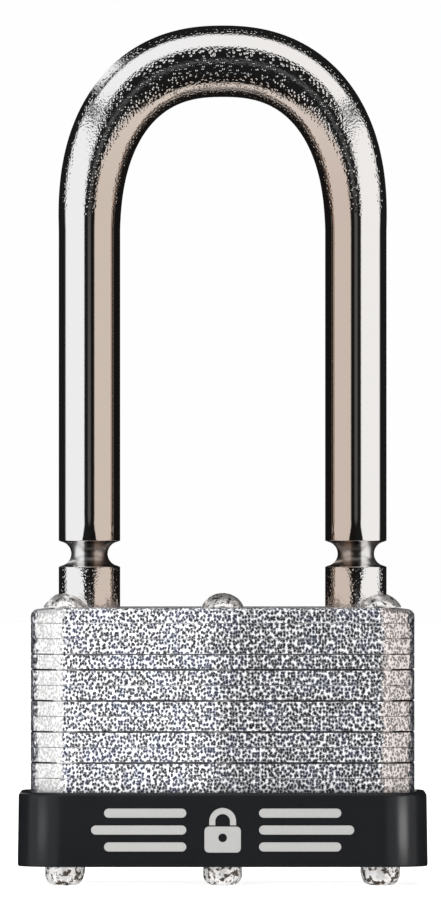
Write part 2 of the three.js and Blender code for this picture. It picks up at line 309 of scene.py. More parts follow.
def nearest_cell(tree, place, size, scatter, dimensions="3D"):
    """How far a place is from the nearest of many scattered points, as a share of their spacing."""
    inputs = {"Vector": place, "Scale": 1 / size, "Randomness": scatter}
    return add(tree, "ShaderNodeTexVoronoi", inputs, voronoi_dimensions=dimensions).outputs["Distance"]


def zinc_cells(tree, place, off_wide_face):
    """The grain's cells about their mean: an even net on the wide faces, and a solid one on all others."""
    axes = add(tree, "ShaderNodeSeparateXYZ", {0: place})
    on_face = add(tree, "ShaderNodeCombineXYZ", {0: axes.outputs["X"], 1: axes.outputs["Z"]}).outputs[0]
    even = nearest_cell(tree, on_face, WIDE_FACE_CELL, WIDE_FACE_SCATTER, "2D")
    even = math_node(tree, "SUBTRACT", even, WIDE_FACE_MEAN)
    solid = nearest_cell(tree, place, OTHER_FACE_CELL, OTHER_FACE_SCATTER)
    solid = math_node(tree, "SUBTRACT", solid, OTHER_FACE_MEAN)
    change = math_node(tree, "MULTIPLY", math_node(tree, "SUBTRACT", solid, even), off_wide_face)
    return math_node(tree, "ADD", even, change)


def galvanised_steel():
    """Stamped plates with a broken zinc grain: a white net round small blue-black pits. The bevelled corners
    are burnished nearly smooth, and the right one is painted warmer and more speckled, as painted shade."""
    material, tree, shader = new_material("galvanised_steel")
    place = coordinates(tree, stretch=(1, 1, GRAIN_STRETCH))
    axes = add(tree, "ShaderNodeSeparateXYZ", {0: coordinates(tree)})
    wander = remap(tree, grain(tree, place, WANDER_SIZE), *MID_NOISE, -EDGE_WANDER, EDGE_WANDER)
    out = math_node(tree, "ADD", math_node(tree, "ABSOLUTE", axes.outputs["X"]), wander)
    onto_corner = remap(tree, out, *CORNER_EDGE)
    onto_side = remap(tree, out, *END_FACE_EDGE)
    burnished = math_node(tree, "MULTIPLY", onto_corner, math_node(tree, "SUBTRACT", 1.0, onto_side))
    normal = add(tree, "ShaderNodeNewGeometry").outputs["Normal"]
    up_part = math_node(tree, "ABSOLUTE", add(tree, "ShaderNodeSeparateXYZ", {0: normal}).outputs["Z"])
    off_wide_face = math_node(tree, "MAXIMUM", onto_corner, remap(tree, up_part, *FACES_UP))
    flakes = zinc_cells(tree, place, off_wide_face)
    fine = grain(tree, place, FINE_SIZE, detail=1.0, distortion=0.4)
    cell_part = math_node(tree, "MULTIPLY", flakes, CELL_CONTRAST)
    fine_part = math_node(tree, "MULTIPLY", math_node(tree, "SUBTRACT", fine, 0.5), FINE_CONTRAST)
    level = math_node(tree, "ADD", math_node(tree, "ADD", cell_part, fine_part), FLAKE_LEVEL)
    level = math_node(tree, "MINIMUM", math_node(tree, "MAXIMUM", level, DARKEST_FLAKE), 1.0)
    shine = math_node(tree, "POWER", level, FLAKE_POWER)
    blueness = remap(tree, grain(tree, place, BLUE_PATCH_SIZE), *BLUE_PATCH_RANGE)
    zinc = mix_colours(tree, shine, mix_colours(tree, blueness, PIT_BLACK, PIT_BLUE), ZINC_WHITE)
    zinc = mix_colours(tree, onto_side, zinc, END_FACE_SHADE, "MULTIPLY")
    # Painted shade: the corner turns warmer and more speckled towards the right.
    painted_shade_rightward = remap(tree, axes.outputs["X"], -1, 1)
    corner = mix_colours(tree, painted_shade_rightward, LEFT_CORNER, RIGHT_CORNER_PAINTED_SHADE)
    amount = remap(tree, painted_shade_rightward, 0, 1, LEFT_SPECKLE, RIGHT_SPECKLE_PAINTED_SHADE)
    speckle = math_node(tree, "MULTIPLY", remap(tree, shine, 0, 0.5, 1.0, 0.0), amount)
    worn_and_painted_shade = mix_colours(tree, speckle, corner, CORNER_SPECK)
    tree.links.new(mix_colours(tree, burnished, zinc, worn_and_painted_shade), shader.inputs["Base Color"])
    metallic = remap(tree, burnished, 0, 1, ZINC_METALLIC, BURNISHED_METALLIC)
    tree.links.new(metallic, shader.inputs["Metallic"])
    tree.links.new(remap(tree, fine, *MID_NOISE, 0.5, 0.3), shader.inputs["Roughness"])
    relief = remap(tree, burnished, 0, 1, 1.0, BURNISHED_RELIEF_SHARE)
    set_bump(tree, shader, math_node(tree, "MULTIPLY", flakes, relief), ZINC_RELIEF, 0.9)
    return material


BAND_INSET = 0.7  # how far inside the bar's centre line the dimpled band lies at the top of the bend
BAND_HALF_LEG = 0.6
BAND_HALF_CROWN = 1.9
BAND_SOFT = 0.15
DIMPLE_SPACING = 0.39
DIMPLE_SCATTER = 0.7
DIMPLE_EDGE = 0.45  # a dimple's edge and floor, as shares of the spacing
DIMPLE_FLOOR = 0.08
DIMPLE_DEPTH = 0.036
PEEL_SIZE = 0.24
PEEL_DEPTH = 0.02
POLISHED_PEEL_DEPTH = 0.001
PLATING = (0.94, 0.93, 0.92)
# Painted reflection: a warm tint on the half of the bar that faces the loop, per leg and on the crown.
PAINTED_REFLECTION_LEFT = (0.665, 0.565, 0.495)
PAINTED_REFLECTION_RIGHT = (0.645, 0.53, 0.455)
PAINTED_REFLECTION_CROWN = (0.74, 0.65, 0.58)
# Painted reflection: a dark line down the middle of each leg in the groove.
PAINTED_DARK_REFLECTION = (0.01, 0.01, 0.01)
PAINTED_DARK_REFLECTION_AMOUNT = 0.86
PAINTED_DARK_REFLECTION_SPAN = (0.75, 0.45)  # how far from a leg's middle the painted dark reflection in a groove ends
GROOVE_SHADE = (0.30, 0.25, 0.22)
GROOVE_SHADE_AMOUNT = 0.55
POLISHED_ROUGHNESS = 0.06
GROOVE_ROUGHNESS = 0.31


def off_the_bar_line(tree, distance_x, over_bend):
    """How far outside the bar's centre line a place lies, in the plane of the loop."""
    squashed = math_node(tree, "MULTIPLY", over_bend, LEG_X / CROWN_RISE)
    across = math_node(tree, "POWER", distance_x, CROWN_POWER)
    upward = math_node(tree, "POWER", squashed, CROWN_POWER)
    from_middle = math_node(tree, "POWER", math_node(tree, "ADD", across, upward), 1 / CROWN_POWER)
    return math_node(tree, "SUBTRACT", from_middle, LEG_X)


def chrome_relief(tree, place, off_line, off_band, round_bend, height):
    """Orange peel where the bar is bent and below the groove, with dimples in the band and on the rims."""
    bent = remap(tree, height, BEND_Z + 1.0, BEND_Z + 3.5)
    foot = remap(tree, height, GROOVE_Z - BREAK_GROOVE_R, GROOVE_Z - BREAK_GROOVE_R - 0.3)
    band_half = remap(tree, round_bend, 0, 1, BAND_HALF_LEG, BAND_HALF_CROWN)
    past_band = math_node(tree, "SUBTRACT", math_node(tree, "ABSOLUTE", off_band), band_half)
    in_band = remap(tree, past_band, BAND_SOFT, -BAND_SOFT)
    out_from_line = math_node(tree, "ABSOLUTE", off_line)
    on_rim = remap(tree, out_from_line, BAR_R - 1.15, BAR_R - 0.85)
    off_edge = remap(tree, out_from_line, BAR_R - 0.3, BAR_R - 0.55)
    speckled = math_node(tree, "MAXIMUM", foot, math_node(tree, "MULTIPLY", bent, off_edge))
    dimpled = math_node(tree, "MAXIMUM", in_band, math_node(tree, "MULTIPLY", on_rim, speckled))
    rough = math_node(tree, "MAXIMUM", bent, foot)
    cells = nearest_cell(tree, place, DIMPLE_SPACING, DIMPLE_SCATTER)
    dimple = remap(tree, cells, DIMPLE_EDGE, DIMPLE_FLOOR)
    depth = math_node(tree, "MULTIPLY", math_node(tree, "MULTIPLY", dimpled, rough), DIMPLE_DEPTH)
    peel = grain(tree, place, PEEL_SIZE, detail=1.0)
    peel_depth = remap(tree, rough, 0, 1, POLISHED_PEEL_DEPTH, PEEL_DEPTH)
    relief = math_node(tree, "MULTIPLY", peel, peel_depth)
    return math_node(tree, "SUBTRACT", relief, math_node(tree, "MULTIPLY", dimple, depth))


def chrome_plating():
    """Bright plating: polished on the legs, and orange-peeled and dimpled where the bar is bent and below the
    groove. The half of the bar that faces the loop carries a painted warm reflection, and a dark reflection
    is painted down each leg in the groove."""
    material, tree, shader = new_material("chrome_plating", metallic=1.0)
    place = coordinates(tree)
    axes = add(tree, "ShaderNodeSeparateXYZ", {0: place})
    distance_x = math_node(tree, "ABSOLUTE", axes.outputs["X"])
    height = axes.outputs["Z"]
    over_bend = math_node(tree, "MAXIMUM", math_node(tree, "SUBTRACT", height, BEND_Z), 0.0)
    off_line = off_the_bar_line(tree, distance_x, over_bend)
    round_bend = remap(tree, over_bend, 2, CROWN_RISE + 2)
    line_shift = math_node(tree, "MULTIPLY", round_bend, BAND_INSET)
    off_band = math_node(tree, "ADD", off_line, line_shift)
    inside = remap(tree, math_node(tree, "ADD", off_band, line_shift), 0.4, -0.6)
    # The half of the bar that faces the loop gets a painted warm reflection.
    tarnish_and_painted_reflection = mix_colours(tree, remap(tree, axes.outputs["X"], -4, 4), PAINTED_REFLECTION_LEFT, PAINTED_REFLECTION_RIGHT)
    tarnish_and_painted_reflection = mix_colours(tree, round_bend, tarnish_and_painted_reflection, PAINTED_REFLECTION_CROWN)
    plating = mix_colours(tree, inside, PLATING, tarnish_and_painted_reflection)
    off_groove = math_node(tree, "ABSOLUTE", math_node(tree, "SUBTRACT", height, GROOVE_Z))
    in_groove = remap(tree, off_groove, BREAK_GROOVE_R + 0.05, BREAK_GROOVE_R - 0.15)
    off_axis = math_node(tree, "ABSOLUTE", math_node(tree, "SUBTRACT", distance_x, LEG_X))
    # A dark reflection painted down each leg's middle in the groove.
    dark_reflection = math_node(tree, "MULTIPLY", remap(tree, off_axis, *PAINTED_DARK_REFLECTION_SPAN), in_groove)
    plating = mix_colours(tree, math_node(tree, "MULTIPLY", dark_reflection, PAINTED_DARK_REFLECTION_AMOUNT), plating, PAINTED_DARK_REFLECTION)
    shaded = math_node(tree, "MULTIPLY", math_node(tree, "MULTIPLY", in_groove, inside), GROOVE_SHADE_AMOUNT)
    plating = mix_colours(tree, shaded, plating, GROOVE_SHADE)
    tree.links.new(plating, shader.inputs["Base Color"])
    set_bump(tree, shader, chrome_relief(tree, place, off_line, off_band, round_bend, height), 1.0)
    roughness = remap(tree, in_groove, 0, 1, POLISHED_ROUGHNESS, GROOVE_ROUGHNESS)
    tree.links.new(roughness, shader.inputs["Roughness"])
    return material


BETWEEN_FOOT_AND_HEAD = (10, 20)  # heights over which a rivet's finish changes
MOTTLE_SIZE = 0.55
HEAD_CLEANNESS = 0.055
PIT_RANGE = (0.42, 0.52)
FOOT_DIRT = (0.085, 0.065, 0.050)
HEAD_DIRT = (0.13, 0.12, 0.115)
RIVET_PALE = (0.95, 0.935, 0.925)


def rivet_steel():
    """Headed-over steel: pale and mottled, with small dents and darker pits from the riveting tool. The feet
    are browner and less bright than the heads."""
    material, tree, shader = new_material("rivet_steel")
    place = coordinates(tree)
    dents = grain(tree, place, 0.8)
    height = add(tree, "ShaderNodeSeparateXYZ", {0: place}).outputs["Z"]
    head = remap(tree, height, *BETWEEN_FOOT_AND_HEAD)
    mottle = grain(tree, place, MOTTLE_SIZE, roughness=0.6)
    pits = math_node(tree, "ADD", mottle, remap(tree, head, 0, 1, 0.0, HEAD_CLEANNESS))
    dirt = mix_colours(tree, head, FOOT_DIRT, HEAD_DIRT)
    steel = mix_colours(tree, remap(tree, pits, *PIT_RANGE), dirt, RIVET_PALE)
    tree.links.new(steel, shader.inputs["Base Color"])
    tree.links.new(remap(tree, head, 0, 1, 0.3, 0.8), shader.inputs["Metallic"])
    tree.links.new(remap(tree, dents, *MID_NOISE, 0.30, 0.18), shader.inputs["Roughness"])
    set_bump(tree, shader, dents, 0.12, 0.8)
    return material


def black_plastic():
    """Moulded thermoplastic with a fine satin grain."""
    material, tree, shader = new_material("black_plastic")
    place = coordinates(tree)
    skin = grain(tree, place, 0.12)
    haze = grain(tree, place, 6.0, detail=3.0)
    plastic = mix_colours(tree, haze, (0.0078, 0.0085, 0.0096), (0.0106, 0.0115, 0.0128))
    tree.links.new(plastic, shader.inputs["Base Color"])
    tree.links.new(remap(tree, haze, *MID_NOISE, 0.20, 0.26), shader.inputs["Roughness"])
    shader.inputs["Specular IOR Level"].default_value = 0.22
    set_bump(tree, shader, skin, 0.01, 0.5)
    return material


def silver_print():
    """Pad-printed silver-grey ink with a faint fleck."""
    material, tree, shader = new_material("silver_print", roughness=0.55)
    fleck = grain(tree, coordinates(tree), 0.15)
    ink = mix_colours(tree, fleck, (0.335, 0.335, 0.328), (0.425, 0.425, 0.415))
    tree.links.new(ink, shader.inputs["Base Color"])
    set_bump(tree, shader, fleck, 0.01, 0.4)
    return material


def turned_brass():
    """Brass with fine rings from turning."""
    material, tree, shader = new_material("turned_brass", metallic=1.0)
    place = coordinates(tree)
    axes = add(tree, "ShaderNodeSeparateXYZ", {0: place})
    flat = add(tree, "ShaderNodeCombineXYZ", {0: axes.outputs["X"], 1: axes.outputs["Y"]})
    length = add(tree, "ShaderNodeVectorMath", {0: flat.outputs[0]}, operation="LENGTH").outputs["Value"]
    rings = grain(tree, add(tree, "ShaderNodeCombineXYZ", {0: length}).outputs[0], 0.12)
    tarnish_and_painted_reflection = grain(tree, place, 1.5, detail=3.0)
    brass = mix_colours(tree, tarnish_and_painted_reflection, (0.72, 0.53, 0.24), (0.48, 0.34, 0.15))
    tree.links.new(brass, shader.inputs["Base Color"])
    tree.links.new(remap(tree, tarnish_and_painted_reflection, *MID_NOISE, 0.24, 0.42), shader.inputs["Roughness"])
    set_bump(tree, shader, rings, 0.02, 0.5)
    return material


def spring_steel():
    """Plain drawn spring steel with a thin film of oil."""
    material, tree, shader = new_material("spring_steel", metallic=1.0)
    place = coordinates(tree)
    scale = grain(tree, place, 0.5, detail=3.0)
    steel = mix_colours(tree, scale, (0.28, 0.28, 0.29), (0.46, 0.46, 0.47))
    tree.links.new(steel, shader.inputs["Base Color"])
    tree.links.new(remap(tree, scale, *MID_NOISE, 0.24, 0.38), shader.inputs["Roughness"])
    set_bump(tree, shader, scale, 0.02, 0.4)
    return material


# ---------- shackle ----------

CROWN_RISE = 19.6
CROWN_POWER = 2.36
CROWN_SWELL = 0.59
BREAK_GROOVE_R = 1.42
NOTCH_NECK_R = 2.27
NOTCH_HALF_HEIGHT = 1.5
END_CHAMFER = 1.1
SHOULDER_R = 0.07
BAR_SIDES = 96
CROWN_STEPS = 150
LINE_STEPS = 4000
SHOULDER_STEPS = 3
CHAMFER_STEPS = 6
GROOVE_STEPS = 16
LEG_STEPS = 12
SHACKLE_TOP = box_mm("shackle")[1].z
BEND_Z = SHACKLE_TOP - BAR_R - CROWN_SWELL - CROWN_RISE
GROOVE_ABOVE_PLATES = 6.2
GROOVE_Z = box_mm("top_plate")[1].z + GROOVE_ABOVE_PLATES
NOTCH_Z = box_mm("spring_plate_upper")[0].z
SHACKLE_TRAVEL = 12
HEEL_END_Z = box_mm("shackle")[0].z
TOE_SHORTER_BY = 12.3
TOE_END_Z = HEEL_END_Z + TOE_SHORTER_BY


def crown_line():
    """Evenly spaced (point, tangent) samples of the bar's centre line, from +X over to -X."""
    points = []
    for i in range(LINE_STEPS + 1):
        angle = math.pi * i / LINE_STEPS
        across = math.cos(angle)
        x = LEG_X * math.copysign(abs(across) ** (2 / CROWN_POWER), across)
        z = BEND_Z + CROWN_RISE * abs(math.sin(angle)) ** (2 / CROWN_POWER)
        points.append(Vector((x, 0, z)))
    lengths = [0.0]
    for a, b in zip(points, points[1:]):
        lengths.append(lengths[-1] + (b - a).length)
    samples = []
    i = 0
    for step in range(CROWN_STEPS + 1):
        target = lengths[-1] * step / CROWN_STEPS
        while i < LINE_STEPS - 1 and lengths[i + 1] < target:
            i += 1
        span = lengths[i + 1] - lengths[i]
        samples.append(points[i].lerp(points[i + 1], (target - lengths[i]) / span))
    tangents = []
    for step in range(CROWN_STEPS + 1):
        ahead = samples[min(step + 1, CROWN_STEPS)]
        behind = samples[max(step - 1, 0)]
        tangents.append((ahead - behind).normalized())
    tangents[0] = Vector((0, 0, 1))
    tangents[-1] = Vector((0, 0, -1))
    return list(zip(samples, tangents))


def shoulder(z, side):
    """A small round at the edge of a groove. The metal lies below z if side is -1, and above it if 1."""
    points = []
    for i in range(SHOULDER_STEPS + 1):
        angle = math.radians(90 * i / SHOULDER_STEPS)
        radius = BAR_R - SHOULDER_R * (1 - math.cos(angle))
        points.append((radius, z + side * SHOULDER_R * (1 - math.sin(angle))))
    return points if side < 0 else points[::-1]


def leg_profile(end_z, notches):
    """(radius, height) pairs up a leg, from its rounded end to where the bend starts."""
    profile = [(0, end_z)]
    for i in range(CHAMFER_STEPS + 1):
        angle = math.radians(90 * i / CHAMFER_STEPS)
        radius = BAR_R - END_CHAMFER + END_CHAMFER * math.sin(angle)
        profile.append((radius, end_z + END_CHAMFER * (1 - math.cos(angle))))
    for z in notches:
        low = z - NOTCH_HALF_HEIGHT
        high = z + NOTCH_HALF_HEIGHT
        profile += shoulder(low, -1)
        profile += [(NOTCH_NECK_R, low + 0.01), (NOTCH_NECK_R, high - 0.01)]
        profile += shoulder(high, 1)
    profile += shoulder(GROOVE_Z - BREAK_GROOVE_R - SHOULDER_R, -1)
    for i in range(1, GROOVE_STEPS):
        angle = math.radians(180 * i / GROOVE_STEPS)
        radius = BAR_R - BREAK_GROOVE_R * math.sin(angle) - 0.5 * SHOULDER_R
        profile.append((radius, GROOVE_Z - BREAK_GROOVE_R * math.cos(angle)))
    start = GROOVE_Z + BREAK_GROOVE_R + SHOULDER_R
    profile += shoulder(start, 1)
    for i in range(1, LEG_STEPS):
        profile.append((BAR_R, start + (BEND_Z - start) * i / LEG_STEPS))
    return profile


def bar_ring(mesh, centre, tangent, radius, swell=0.0):
    """A ring of the bar round a point of its centre line. Swell thickens it in the plane of the bend."""
    outward = Vector((tangent.z, 0, -tangent.x))
    ring = []
    for x, y in circle(0, 0, 1, BAR_SIDES):
        place = centre + outward * (x * (radius + swell)) + Vector((0, y * radius, 0))
        ring.append(mesh.verts.new(place * MM))
    return ring


def make_shackle(material):
    mesh = bmesh.new()
    rings = []
    up = Vector((0, 0, 1))
    for radius, z in leg_profile(TOE_END_Z, [NOTCH_Z])[1:]:
        rings.append(bar_ring(mesh, Vector((LEG_X, 0, z)), up, radius))
    for i, (centre, tangent) in enumerate(crown_line()):
        swell = CROWN_SWELL * math.sin(math.pi * i / CROWN_STEPS)
        rings.append(bar_ring(mesh, centre, tangent, BAR_R, swell))
    for radius, z in reversed(leg_profile(HEEL_END_Z, [NOTCH_Z - SHACKLE_TRAVEL, NOTCH_Z])[1:]):
        rings.append(bar_ring(mesh, Vector((-LEG_X, 0, z)), -up, radius))
    join_rings(mesh, rings)
    mesh.faces.new(rings[0])
    mesh.faces.new(rings[-1])
    shackle = finished(mesh, "shackle_bar", material)
    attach(shackle, "shackle")
    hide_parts("shackle")


# ---------- plates ----------

FAINT_GAP = 0.02
MEDIUM_GAP = 0.09
DEEP_GAP = 0.17
SEAM_BELOW = {14: MEDIUM_GAP, 13: DEEP_GAP, 11: DEEP_GAP, 9: DEEP_GAP, 7: DEEP_GAP}  # the others are faint
EDGE_R = 0.05
TOP_EDGE_R = 0.55
ROLL_LENGTH = 5.0  # how far in from its ends the top plate's face starts to roll down
ROLL_DROP = 0.38
KEY_SWEEP_R = 4.35
WARD_SLOT_LENGTH = 8.7
WARD_SLOT_HALF = 1.3
WARD_ROUND_R = 2.7
CAVITY_CORNER_R = 1.4
CAVITY_LEFT_ROOM = 0.25
CAVITY_RIGHT_ROOM = 0.9
CAVITY_ARM_ROOM = 1.55  # for the spring's arms to spread
RIVETS = [f"rivet_{row}_{place}" for row in ("front", "rear") for place in ("left", "middle", "right")]


def ward_opening(_grow):
    meet = math.degrees(math.asin(WARD_SLOT_HALF / WARD_ROUND_R))
    end = WARD_SLOT_LENGTH / 2
    points = [(end, -WARD_SLOT_HALF), (end, WARD_SLOT_HALF)]
    points += arc(0, 0, WARD_ROUND_R, meet, 180 - meet, 12)
    points += [(-end, WARD_SLOT_HALF), (-end, -WARD_SLOT_HALF)]
    return points + arc(0, 0, WARD_ROUND_R, 180 + meet, 360 - meet, 12)


def spring_cavity(_grow):
    spring_low, spring_high = box_mm("locking_spring")
    left = spring_low.x - CAVITY_LEFT_ROOM
    right = spring_high.x + CAVITY_RIGHT_ROOM
    half_x = (right - left) / 2
    half_y = spring_high.y + CAVITY_ARM_ROOM
    return [(x + (left + right) / 2, y) for x, y in rounded_outline(half_x, half_y, CAVITY_CORNER_R, 6)]


def plate_openings(name, number):
    """The holes of one plate: rivets, legs and what the key or the spring needs."""
    holes = []
    for rivet in RIVETS:
        place = middle_mm(rivet)
        holes.append(hole(place.x, place.y, RIVET_HOLE_R, RIVET_SIDES))
    if name == "bottom_plate":
        holes.append(hole(0, 0, DISC_BOSS_R + DISC_GAP, BORE_SIDES))
    elif name == "disc_pocket_plate":
        holes.append(hole(0, 0, DISC_FLANGE_R + DISC_GAP, BORE_SIDES))
    elif name.startswith("ward"):
        holes.append(ward_opening)
    elif name.startswith("spring_plate"):
        return holes + [spring_cavity]
    elif name.startswith("spacer") or name == "spring_floor_plate":
        holes.append(hole(0, 0, KEY_SWEEP_R, BORE_SIDES))
    if number >= FIRST_HEEL_PLATE:
        holes.append(hole(-LEG_X, 0, LEG_BORE_R, BORE_SIDES))
    if number >= FIRST_TOE_PLATE:
        holes.append(hole(LEG_X, 0, LEG_BORE_R, BORE_SIDES))
    return holes


def roll_ends(mesh, half_x, middle_z):
    """Lowers the upper face towards both ends, as stamping leaves it."""
    for vert in mesh.verts:
        if vert.co.z > middle_z * MM:
            share = max(0.0, (abs(vert.co.x) / MM - half_x + ROLL_LENGTH) / ROLL_LENGTH)
            vert.co.z -= ROLL_DROP * share * share * MM


def make_plate(name, number, material):
    low, high = box_mm(name)
    half_x = (high.x - low.x) / 2
    half_y = (high.y - low.y) / 2
    gap_below = SEAM_BELOW.get(number, FAINT_GAP)
    gap_above = SEAM_BELOW.get(number + 1, FAINT_GAP)
    top_edge = TOP_EDGE_R if name == "top_plate" else EDGE_R
    profile = edge_profile(low.z + gap_below / 2, high.z - gap_above / 2, EDGE_R, top_edge)
    loops = [lambda grow: bevelled_outline(half_x, half_y, grow)]
    mesh = bmesh.new()
    pierced_slab(mesh, loops + plate_openings(name, number), profile)
    if name == "top_plate":
        roll_ends(mesh, half_x, middle_mm(name).z)
    plate = finished(mesh, f"{name}_stamping", material)
    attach(plate, "case")
    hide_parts(name)


# ---------- rivets ----------

HEAD_R = 2.38
HEAD_RIM = 0.12
FOOT_R = 2.25
FOOT_FLAT_R = 0.8
FOOT_DOME = 1.25
FOOT_STEPS = 12
HEAD_STEPS = 18
HEAD_SHORTFALL = 0.05  # what the dents may add to a head
HAMMER_DEPTH = 0.05
WIDE_DENTS = 0.9
FINE_DENTS = 2.2
DENT_SEED = 7.3


def rivet_profile(bottom, top):
    """From the foot up: a flattened dome, the shank, and a wide cap of a sphere on a thin rim."""
    foot_top = box_mm("bottom_plate")[0].z - 0.02
    head_bottom = box_mm("top_plate")[1].z + 0.02
    profile = [(0, bottom)]
    for i in range(6):
        profile.append((FOOT_FLAT_R * (i + 1) / 6, bottom))
    for i in range(1, FOOT_STEPS + 1):
        angle = math.radians(90 * i / FOOT_STEPS)
        spread = FOOT_FLAT_R + (FOOT_R - FOOT_FLAT_R) * math.sin(angle)
        profile.append((spread, bottom + FOOT_DOME * (1 - math.cos(angle))))
    for i in range(1, 6):
        profile.append((FOOT_R, bottom + FOOT_DOME + (foot_top - bottom - FOOT_DOME) * i / 5))
    profile += [(RIVET_SHANK_R, foot_top), (RIVET_SHANK_R, head_bottom)]
    profile.append((HEAD_R, head_bottom))
    cap_bottom = head_bottom + HEAD_RIM
    rise = top - cap_bottom
    cap_r = (HEAD_R * HEAD_R + rise * rise) / (2 * rise)
    widest = math.asin(HEAD_R / cap_r)
    for i in range(HEAD_STEPS):
        angle = widest * (1 - i / HEAD_STEPS)
        profile.append((cap_r * math.sin(angle), top - cap_r * (1 - math.cos(angle))))
    profile.append((0, top))
    return profile


def hammer(mesh, seed, floor):
    """Small dents all over, none of which reaches below the floor."""
    for vert in mesh.verts:
        place = vert.co / MM
        amount = noise.noise(place * WIDE_DENTS + Vector((seed, seed, seed))) * HAMMER_DEPTH
        amount += noise.noise(place * FINE_DENTS + Vector((seed, 0, seed))) * HAMMER_DEPTH * 0.5
        moved = place + vert.normal * amount
        moved.z = max(moved.z, floor)
        vert.co = moved * MM


def make_rivet(name, number, material):
    low, high = box_mm(name)
    middle = middle_mm(name)
    mesh = bmesh.new()
    turned(mesh, rivet_profile(low.z, high.z - HEAD_SHORTFALL), middle.x, middle.y, RIVET_SIDES)
    bmesh.ops.recalc_face_normals(mesh, faces=mesh.faces)
    mesh.normal_update()
    hammer(mesh, DENT_SEED * (number + 1), low.z)
    rivet = finished(mesh, f"{name}_headed", material, 50)
    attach(rivet, "case")
    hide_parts(name)


# ---------- keyway disc ----------

DISC_BOSS_R = 4.8
DISC_FLANGE_R = 5.5
DISC_GAP = 0.15
DISC_EDGE_R = 0.3
KEYWAY_LENGTH = 8.4
KEYWAY_WAVE = 0.5
KEYWAY_HALF_GAP = 0.65
KEYWAY_SWINGS = (0, 1, -1, 1, -1, 0)


def keyway_slot(grow):
    """The corrugated slot for a folded sheet-metal key, eased at its bends."""
    per_swing = 6
    half = KEYWAY_LENGTH / 2 - grow
    line = []
    count = (len(KEYWAY_SWINGS) - 1) * per_swing
    for i in range(count + 1):
        step = min(i // per_swing, len(KEYWAY_SWINGS) - 2)
        share = i / per_swing - step
        eased = share * share * (3 - 2 * share)
        swing = KEYWAY_SWINGS[step] + (KEYWAY_SWINGS[step + 1] - KEYWAY_SWINGS[step]) * eased
        line.append((half * (2 * i / count - 1), KEYWAY_WAVE * swing))
    gap = KEYWAY_HALF_GAP - grow
    below = [(x, y - gap) for x, y in line]
    above = [(x, y + gap) for x, y in reversed(line)]
    return below + above


def make_keyway_disc(material):
    low, high = box_mm("keyway_disc")
    boss_top = box_mm("bottom_plate")[1].z + 0.05
    mesh = bmesh.new()
    boss = [lambda grow: circle(0, 0, DISC_BOSS_R + grow, BORE_SIDES), keyway_slot]
    flange = [lambda grow: circle(0, 0, DISC_FLANGE_R + grow, BORE_SIDES), keyway_slot]
    pierced_slab(mesh, boss, edge_profile(low.z, boss_top, DISC_EDGE_R, 0.02))
    pierced_slab(mesh, flange, edge_profile(boss_top + 0.01, high.z, 0.05, 0.05))
    disc = finished(mesh, "keyway_disc_turned", material)
    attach(disc, "keyway_disc")
    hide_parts("keyway_disc")


# ---------- bumper ----------

BUMPER_CORNER_R = 5.6
BUMPER_DRAFT = 0.13
BUMPER_CLEARANCE = 0.12
BUMPER_TOP_EDGE_R = 0.45
BUMPER_BOTTOM_EDGE_R = 0.25
BUMPER_LIP = 1.2
SCALLOP_R = 2.45
BUMPER_EDGE_STEPS = 5
BUMPER_INNER_EDGE = 0.2


def bumper_skin(height_share, grow):
    """The outer outline at a share of the bumper's height. It stands out a little more at the bottom."""
    high = box_mm("bumper")[1]
    draft = -BUMPER_DRAFT * height_share
    half_x = high.x + draft + grow
    half_y = high.y + draft + grow
    return rounded_outline(half_x, half_y, BUMPER_CORNER_R + grow)


def front_face_y(z):
    """Where the bumper's front face stands at a height."""
    low, high = box_mm("bumper")
    return low.y + BUMPER_DRAFT * (z - low.z) / (high.z - low.z)


def make_bumper(material):
    low, high = box_mm("bumper")
    plate_low, plate_high = box_mm("bottom_plate")
    floor = plate_low.z - BUMPER_CLEARANCE
    mesh = bmesh.new()
    rings = []
    for grow, z in edge_profile(low.z, high.z, BUMPER_BOTTOM_EDGE_R, BUMPER_TOP_EDGE_R, BUMPER_EDGE_STEPS):
        rings.append(ring_of(mesh, bumper_skin((z - low.z) / (high.z - low.z), grow), z))
    for grow, z in ((BUMPER_INNER_EDGE, high.z), (0, high.z - BUMPER_INNER_EDGE), (0, floor)):
        rings.append(ring_of(mesh, bevelled_outline(plate_high.x, plate_high.y, BUMPER_CLEARANCE + grow), z))
    for grow, z in ((0, floor), (0, low.z + BUMPER_INNER_EDGE), (BUMPER_INNER_EDGE, low.z)):
        rings.append(ring_of(mesh, bevelled_outline(plate_high.x, plate_high.y, grow - BUMPER_LIP), z))
    join_rings(mesh, rings, closed=True)
    bumper = finished(mesh, "bumper_sleeve", material)
    cutter_mesh = bmesh.new()
    for rivet in RIVETS:
        place = middle_mm(rivet)
        profile = [(0, 0), (SCALLOP_R, 0), (SCALLOP_R, floor + 0.01), (0, floor + 0.01)]
        turned(cutter_mesh, profile, place.x, place.y, RIVET_SIDES)
    cutter = finished(cutter_mesh, "scallop_cutter", material)
    modifier = bumper.modifiers.new("scallops", "BOOLEAN")
    modifier.operation = "DIFFERENCE"
    modifier.solver = "EXACT"
    modifier.object = cutter
    evaluated = bumper.evaluated_get(bpy.context.evaluated_depsgraph_get())
    carved = bpy.data.meshes.new_from_object(evaluated)
    bumper.modifiers.clear()
    bumper.data = carved
    bpy.data.objects.remove(cutter)
    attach(bumper, "case")
    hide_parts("bumper")
    return bumper


# ---------- printed mark ----------

